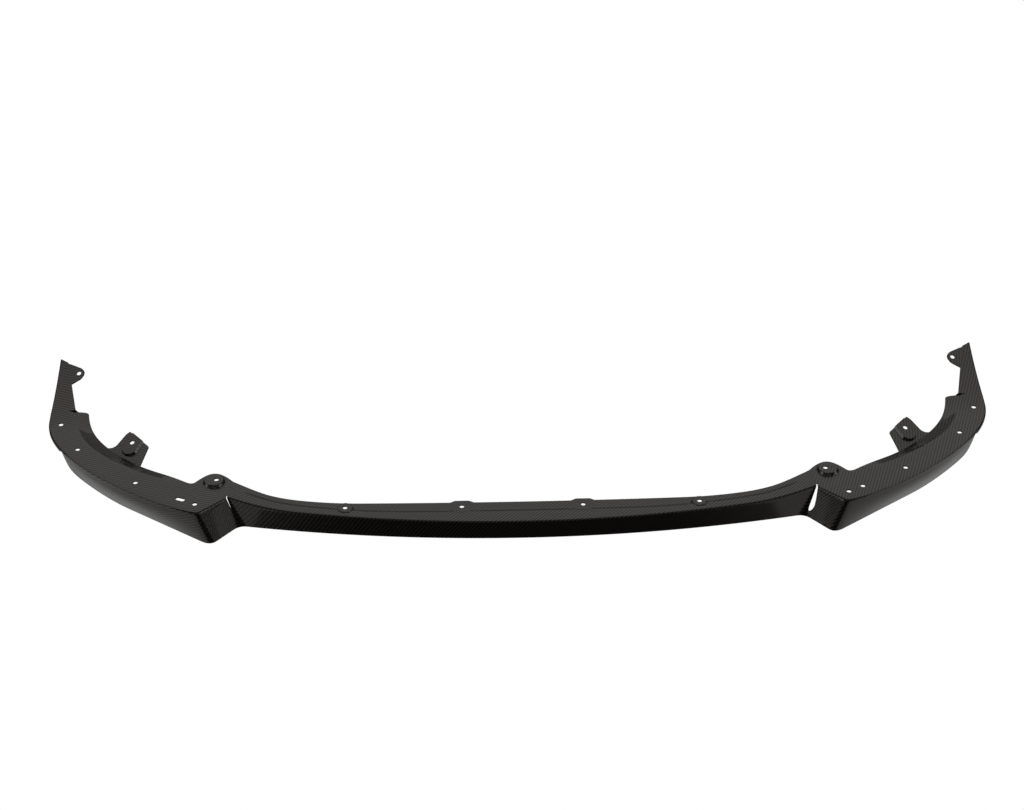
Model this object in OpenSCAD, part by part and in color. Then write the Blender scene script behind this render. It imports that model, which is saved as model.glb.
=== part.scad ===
// Front splitter lip: one woven carbon laminate moulded in one piece.
// A low nose runs across the middle, a leaning wall steps forward at each corner,
// and each outer wing sweeps back to a narrow raised tip.
// +X is to the right, +Y to the rear, +Z up. The lip stands on its lower edges.

/* [Laminate] */
// Thickness of the laminate
wall = 2.5; // [2:0.1:3]
// Rounding between the top surface and the front face
edge_r = 3.5; // [3:0.25:5]

/* [Nose] */
// Radius of the nose in plan
nose_r = 2700; // [2400:50:3200]
// Half width of the nose at its top edge, to the corner wall
nose_half = 541; // [526:1:554]
// Sideways lean of the inside corner, from its top to its bottom
inside_lean = 16; // [10:1:22]
// Height of the nose at the middle
nose_h = 39; // [34:1:46]
// Rise of the top edge along the nose, out to its ends
nose_crown = 9.5; // [6:0.5:14]
// Further rise over the last stretch before the corner
nose_kick = 17.5; // [12:0.5:22]
// Length of that last stretch
kick_len = 126; // [100:2:160]
// Depth of the top, from the front edge to the rear edge
nose_depth = 63; // [56:1:70]
// Depth of the raised front strip, from the front edge to the crease
strip_depth = 33; // [28:1:38]
// Drop from the raised front strip to the rear flange
step_h = 4; // [3:0.25:5]
// Run of that drop
step_run = 5; // [4:0.5:7]

/* [Corners] */
// Distance from the end of the nose to the forward corner of a wing
corner_run = 54; // [48:1:58]
// Setback of that corner behind the front of the nose
corner_y = 8; // [8:1:16]
// Sideways lean of the corner wall, from its top to its bottom
corner_lean = 21; // [14:1:26]
// Forward lean of the corner wall, from its top to its bottom
corner_push = 12; // [6:1:13]
// Rounding of the corner between its wall and the wing's face, along the bottom edge
corner_round = 16; // [10:1:20]
// Rounding of the inside corner, along the bottom edge
inside_round = 15; // [8:1:18]
// Width of the open slit at the right-hand corner
slit_w = 8; // [6:0.5:10]
// Width of the nearly closed slit at the left-hand corner
slit_w_left = 0.8; // [0.6:0.1:2]
// Height of the material that is left under each slit
slit_floor = 11; // [8:1:16]

/* [Wings] */
// Width over the two side edges
lip_w = 1804; // [1784:2:1830]
// Height of a wing's top edge at its side
side_h = 78; // [72:1:84]
// Drop of the turned-down rim along the side and the tip
rim_h = 7; // [6:0.5:9]
// Share of the wing's front edge that carries a tall front face
face_share = 0.74; // [0.68:0.01:0.77]
// Outward swell of the wing's front face
face_swell = 5; // [2:0.5:8]
// Depth from the front of the nose to the end of the inner flange
flange_y = 310; // [304:1:318]
// Fall of the inner flange from its crease's step to its inner edge
flange_fall = 5; // [2:0.5:7]
// Depth from the front of the nose to the tips
tip_y = 429; // [415:1:440]
// Rise of a tip above the side edge
tip_rise = 46; // [30:1:56]
// Width of a wing's strip at the tip
tip_w = 16; // [12:0.5:20]

/* [Pads and seats] */
// Radius of the screw holes in the pads, seats, discs and ears
seat_hole_r = 4.5; // [3.5:0.25:5]
// Distance from the middle to an inner pad
pad_x = 112; // [90:1:140]
// Width of an inner pad's flat top
pad_w = 26; // [22:1:32]
// Width of an inner pad at its foot
pad_foot_w = 44; // [38:1:52]
// Distance from the middle to an outer round seat
seat_x = 327; // [315:1:345]
// Radius of an outer seat's flat top
seat_r = 13.5; // [12.5:0.5:14.5]
// Height of an outer seat above the front strip
seat_rise = 1.5; // [1:0.25:2.5]
// Radius of a corner disc's flat top
corner_disc_r = 18; // [16:0.5:19]
// Height of a corner disc above the top
corner_disc_h = 6; // [4:0.25:7]
// How far a corner seat stands out behind the top
corner_seat_out = 28; // [24:1:32]

/* [Ears and tabs] */
// Width of an ear at its root
ear_root_w = 72; // [66:1:78]
// Width of an ear at its end
ear_end_w = 58; // [52:1:60]
// Length of an ear
ear_len = 50; // [48:1:54]
// Upward tilt of an ear
ear_tilt = 18; // [14:1:22]
// Height of an ear's raised seat above the ear
ear_seat_h = 5; // [4:0.25:6]
// Reach of a tip's screw tab from the tip's inner edge
tip_tab_len = 27; // [25:1:32]
// Width of that tab at its root
tip_tab_w = 58; // [50:1:60]
// Radius of the hole in a tip's screw tab
tip_hole_r = 4.5; // [3.5:0.25:5.5]

/* [Plate holes] */
// Radius of the plain screw holes in the wings
plate_hole_r = 4.5; // [3:0.25:5]
// Radius of the round locating hole in the right wing, and half the width of the left one's slot
locate_r = 4.5; // [3:0.25:5]
// Length of the locating slot in the left wing
locate_len = 18; // [14:1:22]
// Length of the narrow clip slot in the right wing's crease
clip_len = 19; // [14:1:22]

/* [Hidden] */
carbon = [0.07, 0.07, 0.075];
bore_fn = 36;
eps = 0.01;
cut = 30;

// Number of steps along each stretch of the right half
nose_steps = 14;
corner_steps = 7;
round_steps = 5;
face_steps = 20;
side_steps = 8;
strip_steps = 7;

// Plan lines of the nose. The rear edge and the crease run straight and then bend back.
rear_bend_x = 300;
rear_bend = 41;
crease_bend_x = 200;
crease_bend = 50;
side_x = lip_w / 2;
corner_x = nose_half + corner_run;
nose_half_low = nose_half - inside_lean;
corner_h = nose_h + nose_crown + nose_kick;

// Directions and pulls of the wing's three plan curves
front_out = 15;
front_pull = 120;
front_end = 90;
front_end_pull = 112;
inner_out = 32;
inner_pull = 114;
inner_end = 82;
inner_end_pull = 106;
crease_out = 27;
crease_pull = 200;
crease_end = 74;
crease_end_pull = 100;

function lerp(a, b, t) = a + (b - a) * t;
function clamp(t) = min(max(t, 0), 1);
function bow(a, b, c, t) = (1 - t) * (1 - t) * a + 2 * t * (1 - t) * b + t * t * c;
function smooth(t) = let (c = clamp(t)) c * c * (3 - 2 * c);
function pulled(p, angle, len) = p + len * [cos(angle), sin(angle)];
function bezier(a, b, c, d, t) =
    pow(1 - t, 3) * a + 3 * pow(1 - t, 2) * t * b + 3 * (1 - t) * t * t * c + pow(t, 3) * d;
function unit(v) = v / max(norm(v), 1e-9);
function left_of(v) = [-v[1], v[0]];
function sum_of(vs, i = 0) = i >= len(vs) ? [0, 0, 0] : vs[i] + sum_of(vs, i + 1);

// Plan curves of the nose, by distance from the middle
function nose_front(x) = [x, x * x / (2 * nose_r)];
function nose_rear(x) =
    [x, nose_depth + rear_bend * pow(max(x - rear_bend_x, 0) / (nose_half - rear_bend_x), 2)];
function nose_crease(x) =
    [x, strip_depth + crease_bend * pow(max(x - crease_bend_x, 0) / (nose_half - crease_bend_x), 2)];

// Corner points: the inside of the corner, its forward point and the start of the inner edge
inside_top = nose_front(nose_half);
inside_low = nose_front(nose_half_low);
forward_top = [corner_x, corner_y];
forward_low = forward_top - [corner_lean, corner_push];
seat_from = nose_rear(nose_half - 4);
notch = [corner_x + 16, seat_from[1] - 10];

// Plan curves of a wing, by share of the way from the corner to the flange's end
wing_end = [side_x, flange_y - 25];
flange_end = [side_x - 72, flange_y];
strip_inner = [side_x - 47, flange_y + 3];
function wing_front(w) = bezier(forward_top, pulled(forward_top, front_out, front_pull),
    pulled(wing_end, front_end, -front_end_pull), wing_end, w);
function wing_inner(w) = bezier(notch, pulled(notch, inner_out, inner_pull),
    pulled(flange_end, inner_end, -inner_end_pull), flange_end, w);
crease_from = lerp(forward_top, notch, 0.8);
crease_to = lerp(flange_end, wing_end, 0.42);
function wing_crease(w) = bezier(crease_from, pulled(crease_from, crease_out, crease_pull),
    pulled(crease_to, crease_end, -crease_end_pull), crease_to, w);

// Height of the top surface over any point of the plan
function nose_top(x) = nose_h + nose_crown * pow(x / nose_half, 2)
    + nose_kick * pow(clamp((x - nose_half + kick_len) / kick_len), 2);
kick_from_y = flange_y - 49;
function wing_top(p) = lerp(corner_h, side_h, clamp((p[0] - corner_x) / (side_x - corner_x)))
    + tip_rise * pow(clamp((p[1] - kick_from_y) / (tip_y - kick_from_y)), 1.6);
function top_z(p) = p[0] < nose_half ? nose_top(p[0]) : wing_top(p);
function lifted(p, dz = 0) = [p[0], p[1], top_z(p) + dz];

// How much of the crease's step there is: it fades out at the corner
function nose_step(x) = step_h * (1 - smooth((x - nose_half + 80) / 70));
function wing_step(w) = step_h * smooth((w - 0.04) / 0.3);
function wing_fall(w) = flange_fall * smooth((w - 0.1) / 0.35);
wing_step_run = 11;

// The lower edge of a wing's face is straight in plan and rises where the face dies out
face_end = wing_front(face_share);
face_turn = unit(wing_front(face_share) - wing_front(face_share - 0.02));
face_low_end = face_end + 3 * left_of(face_turn);
rise_from = 0.55;
slow_rise = 0.52;
function face_low(w) = let (
        g = w / face_share,
        t = clamp((g - rise_from) / (1 - rise_from)),
        p = lerp(forward_low, face_low_end, g),
        rim_z = top_z(face_end) - rim_h
    ) [p[0], p[1], rim_z * (slow_rise * t * t + (1 - slow_rise) * pow(t, 18))];
function rim_low(p) = [p[0], p[1], top_z(p) - rim_h];

// A station is one line across the laminate: rear edge, crease, front top edge, front
// bottom edge, drop and run of the crease's step, further fall to the rear edge, and how
// far the face swells, outwards along a direction.
wall_top_len = norm(forward_top - inside_top);
wall_low_len = norm(forward_low - inside_low);
inside_round_top = 2;
corner_round_top = 6;
rear_in = 4;
function level(p) = [p[0], p[1], 0];
function nose_station(s) = let (
        x = (nose_half - inside_round_top) * s,
        low = nose_front((nose_half_low - inside_round) * s)
    ) [nose_rear(min(x, nose_half - 2 * rear_in)), nose_crease(x), nose_front(x), level(low),
       [nose_step(x), step_run, 0], [0, 0]];
function corner_station(u) = let (
        r = lerp(0.05, 0.92, u),
        rear = lerp(seat_from, notch, r) + [0, corner_seat_out * sin(180 * r)],
        top = lerp(inside_top, forward_top,
            lerp(inside_round_top, wall_top_len - corner_round_top, u) / wall_top_len),
        low = lerp(inside_low, forward_low,
            lerp(inside_round, wall_low_len - corner_round, u) / wall_low_len)
    ) [rear, lerp(top, rear, lerp(0.42, 0.8, u)), top, level(low), [0, step_run, 0], [0, 0]];
function wing_station(w) = let (
        top = wing_front(w),
        along = unit(wing_front(w + eps) - wing_front(w - eps)),
        share = w < face_share ? sin(180 * w / face_share) : 0
    ) [wing_inner(w), wing_crease(w), top, w <= face_share ? face_low(w) : rim_low(top),
       [wing_step(w), wing_step_run, wing_fall(w)], -left_of(along) * face_swell * share];
function strip_station(v) = let (
        tip = [side_x - 6, tip_y],
        top = lerp(wing_end + [0, 18], tip, v),
        inner = lerp(strip_inner, tip - [tip_w, 8], pow(v, 0.9))
    ) [inner, lerp(inner, top, 0.3), top, rim_low(top), [0, step_run, 0], [0, 0]];
function flange_station(t) = [
    bow(flange_end, flange_end + [1, 6], strip_inner + [-5, 1], t),
    lerp(crease_to, strip_inner + [12, -1], t),
    wing_end + [0, 14 * t],
    rim_low(wing_end + [0, 14 * t]), [step_h, wing_step_run, flange_fall * (1 - 0.4 * t)], [0, 0]
];

// A rounded corner runs from one station to another, and its middle pulls every line out
function rounded(a, middle, b, t) =
    concat([for (k = [0 : 3]) bow(a[k], middle[k], b[k], t)], [lerp(a[4], b[4], t), lerp(a[5], b[5], t)]);
wing_from = corner_round / (3 * front_pull);
inside_corner = [seat_from, nose_crease(nose_half), inside_top, level(inside_low)];
forward_corner = [notch, crease_from, forward_top, level(forward_low)];

right_half = concat(
    [for (i = [0 : nose_steps]) nose_station(1 - pow(1 - i / nose_steps, 1.25))],
    [for (i = [1 : round_steps - 1])
        rounded(nose_station(1), inside_corner, corner_station(0), i / round_steps)],
    [for (i = [0 : corner_steps]) corner_station(i / corner_steps)],
    [for (i = [1 : round_steps - 1])
        rounded(corner_station(1), forward_corner, wing_station(wing_from), i / round_steps)],
    [for (i = [0 : face_steps])
        wing_station(lerp(wing_from, face_share, 1 - pow(1 - i / face_steps, 1.7)))],
    [for (i = [1 : side_steps]) wing_station(lerp(face_share, 1, i / side_steps))],
    [for (t = [0.3, 0.6, 1]) flange_station(t)],
    [for (i = [0 : strip_steps]) strip_station(i / strip_steps)]
);

// One row of the outer surface, from the rear edge over the top and down the front face
function outer_row(st) = let (
        rear = st[0], crease = st[1], top = lifted(st[2]), low = st[3],
        drop = st[4][0], step = st[4][1], sag = st[4][2],
        back = unit([crease[0], crease[1], top_z(crease)] - top),
        down = unit(low - top),
        swell = [st[5][0], st[5][1], 0],
        foot = crease + unit(rear - crease) * min(step, norm(rear - crease) / 2),
        face_top = top + down * edge_r
    ) [
        lifted(rear, -drop - sag),
        lifted(lerp(foot, rear, 0.5), -drop - sag / 2),
        lifted(foot, -drop),
        lifted(crease),
        lifted(lerp(crease, st[2], 0.5)),
        top + back * edge_r,
        top + (back + down) * edge_r * 0.29,
        face_top,
        lerp(face_top, low, 0.32) + swell,
        lerp(face_top, low, 0.67) + swell * 0.7,
        low
    ];
function mirrored(row) = [for (p = row) [-p[0], p[1], p[2]]];
right_rows = [for (st = right_half) outer_row(st)];
count_half = len(right_rows);
outer = concat([for (i = [count_half - 1 : -1 : 1]) mirrored(right_rows[i])], right_rows);
stations = len(outer);
rows = len(outer[0]);

// Unit normal of the cell between two stations and two rows, out of the laminate
function cell_normal(i, j) =
    unit(cross(outer[i + 1][j] - outer[i][j + 1], outer[i][j] - outer[i + 1][j + 1]));
function near_cells(i, j) = [
    for (a = [max(i - 1, 0) : min(i, stations - 2)])
        for (b = [max(j - 1, 0) : min(j, rows - 2)]) cell_normal(a, b)
];
function inner_point(i, j) = let (
        around = near_cells(i, j),
        mean = unit(sum_of(around)),
        least = min([for (n = around) n * mean]),
        p = outer[i][j] - mean * wall / max(least, 0.5)
    ) [p[0], i == 0 || i == stations - 1 ? outer[i][j][1] : p[1],
       j == rows - 1 ? outer[i][j][2] : p[2]];

module laminate() {
    inner = [for (i = [0 : stations - 1]) [for (j = [0 : rows - 1]) inner_point(i, j)]];
    half = stations * rows;
    points = concat([for (r = outer) each r], [for (r = inner) each r]);
    function at(i, j) = i * rows + j;
    skins = [
        for (i = [0 : stations - 2]) for (j = [0 : rows - 2])
            let (a = at(i, j), b = at(i + 1, j), c = at(i + 1, j + 1), d = at(i, j + 1))
            each [[a, b, c], [a, c, d], [half + a, half + c, half + b], [half + a, half + d, half + c]]
    ];
    edges = [
        for (i = [0 : stations - 2]) for (j = [0, rows - 1])
            let (a = at(i, j), b = at(i + 1, j), turn = j == 0)
            each turn ? [[a, half + a, half + b], [a, half + b, b]]
                      : [[a, b, half + b], [a, half + b, half + a]]
    ];
    ends = [
        for (j = [0 : rows - 2]) for (i = [0, stations - 1])
            let (a = at(i, j), b = at(i, j + 1), turn = i == 0)
            each turn ? [[a, b, half + b], [a, half + b, half + a]]
                      : [[a, half + a, half + b], [a, half + b, b]]
    ];
    polyhedron(points, concat(skins, edges, ends));
}

// Slope of the top surface at a point of the plan, and a frame that lies square on it there
function fall(p, d) = (top_z(p + d) - top_z(p - d)) / (2 * norm(d));
module on_top(p, drop = 0) {
    translate(lifted(p, -drop))
        rotate([atan(fall(p, [0, 2])), -atan(fall(p, [2, 0])), 0]) children();
}
module both_sides() {
    children();
    mirror([1, 0, 0]) children();
}

// Places of the seats, all taken from the edges they stand beside
pad_at = [pad_x, (nose_crease(pad_x)[1] + nose_rear(pad_x)[1]) / 2 - 1.5];
seat_at = [seat_x, nose_rear(seat_x)[1] - 19];
corner_disc_hole_at = lerp(seat_from, notch, 0.39) + [0, 1.5];
corner_disc_at = corner_disc_hole_at + [4.5, 0];
ear_share = 0.476;
ear_root = wing_inner(ear_share);
ear_turn = unit(wing_inner(ear_share + 0.02) - wing_inner(ear_share - 0.02));
ear_angle = atan2(ear_turn[1], ear_turn[0]);
ear_drop = wing_step(ear_share) + wing_fall(ear_share);
ear_hole_at = [12, 34.5];
ear_seat_at = [7, 22];
tab_mid = [side_x - 29, tip_y - 31];

// A raised round seat: its top's radius and height, and how far its side runs out per mm
side_run = 0.4;
module seat_out(r, h, run = side_run) {
    translate([0, 0, -wall / 2])
        cylinder(h = h + wall / 2, r1 = r + run * (h + wall / 2), r2 = r, $fn = bore_fn);
}
module seat_in(r, h, run = side_run) {
    below = wall + 2;
    inset = wall * sqrt(1 + run * run);
    translate([0, 0, -below])
        cylinder(h = h - wall + below, r1 = r + run * (h + below) - inset,
            r2 = r + run * wall - inset, $fn = bore_fn);
}

// An inner pad is flush with the front strip and open at the rear edge
pad_proud = 0.3;
module pad_shape(low) {
    top = step_h + pad_proud;
    run = (pad_foot_w - pad_w) / 2 / top;
    foot = pad_w / 2 + run * (top - low);
    polygon([[-foot, low], [foot, low], [pad_w / 2, top], [-pad_w / 2, top]]);
}
module pad_frame(from, to) {
    translate([pad_x, to, nose_top(pad_x) - step_h])
        rotate([90, 0, 0]) linear_extrude(to - from) children();
}
module pad_out() {
    pad_frame(nose_crease(pad_x)[1] - 2, nose_rear(pad_x)[1]) pad_shape(-wall / 2);
}
module pad_in() {
    pad_frame(nose_crease(pad_x)[1], nose_rear(pad_x)[1] + 5) offset(delta = -wall) pad_shape(-12);
}

// Outer seats and corner discs
module outer_seat_frame() { on_top(seat_at, step_h) children(); }
module corner_disc_frame() { on_top(corner_disc_at) children(); }

// An ear turns up from the wing's inner edge
module ear_frame() {
    on_top(ear_root, ear_drop) rotate([0, 0, ear_angle]) rotate([ear_tilt, 0, 0]) children();
}
ear_round = 5;
module ear_shape() {
    from = -ear_root_w / 2 + 1;
    to = ear_root_w / 2 + 1;
    end = ear_end_w - 20;
    offset(r = ear_round) offset(delta = -ear_round)
        polygon([[from - 5, -14], [to + 16, -14], [to + 16, 1], [to + 9, 4], [to + 4, 8], [to + 1, 15],
            [end + 2, ear_len - 5], [end, ear_len + 4.5], [-20, ear_len - 4.5],
            [from, 8], [from - 3, 1]]);
}
module ear_block() {
    translate([-ear_root_w, -3, -cut]) cube([2 * ear_root_w, 2 * ear_len, 2 * cut]);
}
ear_seat_r = 14;
ear_run = 0.5;
ear_seat_end = [13, ear_len + 3];
module ear_out() {
    ear_frame() intersection() {
        union() {
            translate([0, 0, -wall]) linear_extrude(wall) ear_shape();
            intersection() {
                hull() {
                    translate(ear_seat_at) seat_out(ear_seat_r, ear_seat_h, ear_run);
                    translate(ear_seat_end) seat_out(ear_seat_r, ear_seat_h, ear_run);
                }
                translate([0, 0, -cut / 2]) linear_extrude(cut) ear_shape();
            }
        }
        ear_block();
    }
}
module ear_in() {
    ear_frame() hull() {
        translate(ear_seat_at) seat_in(ear_seat_r, ear_seat_h, ear_run);
        translate(ear_seat_end) seat_in(ear_seat_r, ear_seat_h, ear_run);
    }
}

// A tab stands inwards from a tip's inner edge
tab_tilt = 8;
module tab_frame() {
    on_top(tab_mid) rotate([0, tab_tilt, 0]) children();
}
tab_round = 4;
tab_hole_in = 11;
module tab_shape() {
    half = tip_tab_w / 2;
    offset(r = tab_round) offset(delta = -tab_round)
        polygon([[10, -half - 2], [14, half - 4], [3, half - 7], [-tip_tab_len + 6, 10],
            [-tip_tab_len, 3], [-tip_tab_len, -4], [-tip_tab_len + 5, -14], [-2, -half + 2]]);
}
module tab_out() {
    tab_frame() translate([0, 0, -wall]) linear_extrude(wall) tab_shape();
}

// Openings, cut straight down
module hole(p, r) {
    translate(lifted(p, -12)) cylinder(h = cut, r = r, $fn = bore_fn);
}
// Plain holes of a wing, by share along it and share across it
plate_spots = [[0.942, 0.302], [0.698, 0.342], [0.323, 0.374], [0, 0.33]];
locate_spot = [0.081, 0.359];
function plate_at(spot) = lerp(wing_front(spot[0]), wing_inner(spot[0]), spot[1]);
locate_at = plate_at(locate_spot);
locate_turn = unit(wing_front(locate_spot[0] + 0.02) - wing_front(locate_spot[0]));
module locate_slot() {
    translate(lifted(locate_at, -12)) rotate([0, 0, atan2(locate_turn[1], locate_turn[0])])
        linear_extrude(cut) union() {
            reach = locate_len / 2 - locate_r;
            for (side = [-1, 1]) translate([side * reach, 0]) circle(locate_r, $fn = bore_fn);
            translate([-reach, -locate_r]) square([2 * reach, 2 * locate_r]);
        }
}
clip_share = 0.36;
clip_w = 3;
module clip_slot() {
    along = unit(wing_crease(clip_share + 0.02) - wing_crease(clip_share - 0.02));
    translate(lifted(wing_crease(clip_share), -12)) rotate([0, 0, atan2(along[1], along[0])])
        translate([-clip_len / 2, 0, 0]) cube([clip_len, clip_w, cut]);
}

// The slit of an inside corner leans with the corner's line. It is widest low down, runs
// narrow to the top edge and ends in a rounded foot.
module slit(width, top_width) {
    lean = inside_lean / corner_h;
    tall = corner_h - slit_floor;
    function at(share, out) =
        let (z = slit_floor + tall * share) [nose_half_low + lean * z + 2 + out, z];
    translate([0, nose_front(nose_half)[1] + 7, 0]) rotate([90, 0, 0]) linear_extrude(cut)
        polygon([at(0, width * 0.35), at(0.02, width * 0.6), at(0.12, width * 0.88),
            at(0.25, width), at(0.5, width * 0.85), at(1.04, top_width), at(1.04, 0), at(0.15, 0),
            at(0.04, width * 0.12)]);
}

module splitter_lip() {
    difference() {
        union() {
            laminate();
            both_sides() {
                pad_out();
                outer_seat_frame() seat_out(seat_r, step_h + seat_rise);
                corner_disc_frame() seat_out(corner_disc_r, corner_disc_h);
                ear_out();
                tab_out();
            }
        }
        both_sides() {
            pad_in();
            outer_seat_frame() seat_in(seat_r, step_h + seat_rise);
            corner_disc_frame() seat_in(corner_disc_r, corner_disc_h);
            ear_in();
            hole(pad_at, seat_hole_r);
            hole(seat_at, seat_hole_r);
            hole(corner_disc_hole_at, seat_hole_r);
            for (spot = plate_spots) hole(plate_at(spot), plate_hole_r);
        }
        both_sides() {
            ear_frame() translate(concat(ear_hole_at, [-cut / 2]))
                cylinder(h = cut, r = seat_hole_r, $fn = bore_fn);
            tab_frame() translate([-tip_tab_len + tab_hole_in, -1, -cut / 2])
                cylinder(h = cut, r = tip_hole_r, $fn = bore_fn);
        }
        hole(locate_at, locate_r);
        mirror([1, 0, 0]) locate_slot();
        clip_slot();
        slit(slit_w, slit_w * 0.3);
        mirror([1, 0, 0]) slit(slit_w_left, slit_w_left * 3);
    }
}

color(carbon) translate([0, -tip_y / 2, 0]) splitter_lip();
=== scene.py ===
# %% [markdown]
# # Front splitter lip in woven carbon laminate
#
# The real lip is one thin shell: cloth soaked in clear resin, laid into a single mould.
# So the visible object is one piece too. Its shape is swept from a section line, its
# seats are pushed up in the sheet as the mould does it, and then it gets its thickness
# and its holes. Every size is in millimetres here, as in the CAD source, and is turned
# into metres only when a vertex is placed.

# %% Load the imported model
import math

import bmesh
import bpy
from mathutils import Matrix, Vector


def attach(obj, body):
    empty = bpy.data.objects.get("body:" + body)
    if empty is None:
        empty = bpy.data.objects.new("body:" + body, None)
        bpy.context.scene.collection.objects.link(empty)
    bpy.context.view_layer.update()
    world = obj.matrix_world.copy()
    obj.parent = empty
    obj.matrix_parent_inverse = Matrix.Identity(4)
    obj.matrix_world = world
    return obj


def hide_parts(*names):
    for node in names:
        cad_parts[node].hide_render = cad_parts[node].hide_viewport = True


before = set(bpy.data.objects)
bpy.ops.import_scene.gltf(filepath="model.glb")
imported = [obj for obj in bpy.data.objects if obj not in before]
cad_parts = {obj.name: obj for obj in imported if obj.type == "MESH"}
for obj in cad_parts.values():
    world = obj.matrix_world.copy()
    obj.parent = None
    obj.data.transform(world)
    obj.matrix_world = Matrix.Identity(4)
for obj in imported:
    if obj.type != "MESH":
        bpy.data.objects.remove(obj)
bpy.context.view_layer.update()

# %% [markdown]
# ## Camera
#
# The camera was solved from the photograph with the lip's width fixed. It stands about
# four metres in front of the lip and looks down on it at 36 degrees. A long lens far
# away keeps both wings nearly the same size, as in the photograph.

# %% Camera
IMAGE_WIDTH = 1024
SENSOR_WIDTH = 36
VIEW_END = 60
FOCAL_PIXELS = 2076.0
DISTANCE = 3.990
yaw = math.radians(1.2)
roll = math.radians(0.4)
elevation = math.radians(36)
aim_x, aim_z, aim_y = -0.01325588, 0.09558408, 0.0695

turn = Matrix.Rotation(-yaw, 3, "Z")
ahead = turn @ Vector((0, math.cos(elevation), -math.sin(elevation)))
side = turn @ Vector((1, 0, 0))
above = turn @ Vector((0, math.sin(elevation), math.cos(elevation)))
across = side * math.cos(roll) - above * math.sin(roll)
upward = side * math.sin(roll) + above * math.cos(roll)
stand = Vector((aim_x, -DISTANCE * math.cos(elevation), aim_z + DISTANCE * math.sin(elevation)))

camera_data = bpy.data.cameras.new("camera")
camera_data.sensor_fit = "HORIZONTAL"
camera_data.sensor_width = SENSOR_WIDTH
camera_data.lens = SENSOR_WIDTH * FOCAL_PIXELS / IMAGE_WIDTH
camera_data.clip_end = VIEW_END
camera = bpy.data.objects.new("camera", camera_data)
camera_place = Matrix((across, upward, -ahead)).transposed().to_4x4()
camera_place.translation = turn @ stand + Vector((0, aim_y, 0))
camera.matrix_world = camera_place
bpy.context.scene.collection.objects.link(camera)
bpy.context.scene.camera = camera
print("camera at", [round(v, 3) for v in camera_place.translation])

# %% [markdown]
# ## Sizes
#
# These are the sizes of the CAD source under the same names, so that the visible shell
# lies where the solid does. The last block names what the source writes in place.

# %% Sizes of the laminate, the nose and the corners
WALL, EDGE_R = 2.5, 3.5
NOSE_R, NOSE_HALF, INSIDE_LEAN = 2700, 541, 16
NOSE_H, NOSE_CROWN, NOSE_KICK, KICK_LEN = 39, 9.5, 17.5, 126
NOSE_DEPTH, STRIP_DEPTH, STEP_H, STEP_RUN = 63, 33, 4, 5
REAR_BEND_X, REAR_BEND, CREASE_BEND_X, CREASE_BEND = 300, 41, 200, 50
CORNER_RUN, CORNER_Y, CORNER_LEAN, CORNER_PUSH = 54, 8, 21, 12
CORNER_ROUND, CORNER_ROUND_TOP, INSIDE_ROUND, INSIDE_ROUND_TOP = 16, 6, 15, 2
SLIT_W, SLIT_W_LEFT, SLIT_FLOOR, CORNER_SEAT_OUT = 8, 0.8, 11, 28
REAR_IN = 4
corner_x = NOSE_HALF + CORNER_RUN
nose_half_low = NOSE_HALF - INSIDE_LEAN
corner_h = NOSE_H + NOSE_CROWN + NOSE_KICK

# %% Sizes of the wings
LIP_W, SIDE_H, RIM_H = 1804, 78, 7
FACE_SHARE, FACE_SWELL = 0.74, 5
FLANGE_Y, FLANGE_FALL, TIP_Y, TIP_RISE, TIP_W = 310, 5, 429, 46, 16
RISE_FROM, SLOW_RISE, KICK_BACK, WING_STEP_RUN = 0.55, 0.52, 49, 11
FRONT_CURVE = (15, 120, 90, 112)
INNER_CURVE = (32, 114, 82, 106)
CREASE_CURVE = (27, 200, 74, 100)
side_x = LIP_W / 2
kick_from_y = FLANGE_Y - KICK_BACK
print("top of the corner stands", corner_h, "mm high")

# %% Where the lines end and how they fade
NOTCH_OUT, NOTCH_FORWARD = 16, 10
WING_END_FORWARD, FLANGE_END_IN, STRIP_IN, STRIP_BACK = 25, 72, 47, 3
CREASE_FROM_SHARE, CREASE_TO_SHARE = 0.8, 0.42
STEP_LEFT, STEP_FADE = 80, 70
WING_STEP_FROM, WING_STEP_OVER, WING_FALL_FROM, WING_FALL_OVER = 0.04, 0.3, 0.1, 0.35
TIP_SWEEP, FACE_END_OUT, LAST_RISE = 1.6, 3, 18
REAR_LINE_FROM, REAR_LINE_TO, CORNER_CREASE = 0.05, 0.92, 0.42
FLANGE_RUN, FLANGE_EASE, STRIP_FROM, STRIP_CREASE, STRIP_CROWDING = 14, 0.4, 18, 0.3, 0.9
FLANGE_PULL, STRIP_PULL, STRIP_CREASE_OFF = Vector((1, 6)), Vector((-5, 1)), Vector((12, -1))
TIP_IN, TIP_SLANT = 6, 8
NEARBY = 0.02

# %% [markdown]
# ## Plan curves
#
# Seen from above, the lip is a handful of long lines: its front edge, the crease behind
# it and its rear edge. On the nose they are shallow bows. On a wing each one is a
# single curve with a handle at both ends, which is how such a line is drawn in a
# styling studio.


# %% Helpers for points
def lerp(a, b, t):
    return a + (b - a) * t


def clamp(t):
    return min(max(t, 0.0), 1.0)


def bow(a, b, c, t):
    return a * (1 - t) ** 2 + b * (2 * t * (1 - t)) + c * t * t


def smooth(t):
    c = clamp(t)
    return c * c * (3 - 2 * c)


def heading(angle):
    return Vector((math.cos(math.radians(angle)), math.sin(math.radians(angle))))


def left_of(v):
    return Vector((-v.y, v.x))


def handled_curve(start, end, curve, t):
    out, pull, end_angle, end_pull = curve
    b, c = start + heading(out) * pull, end - heading(end_angle) * end_pull
    s = 1 - t
    return start * s**3 + b * (3 * s * s * t) + c * (3 * s * t * t) + end * t**3


# %% Plan curves of the nose and the corner
def nose_front(x):
    return Vector((x, x * x / (2 * NOSE_R)))


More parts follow.
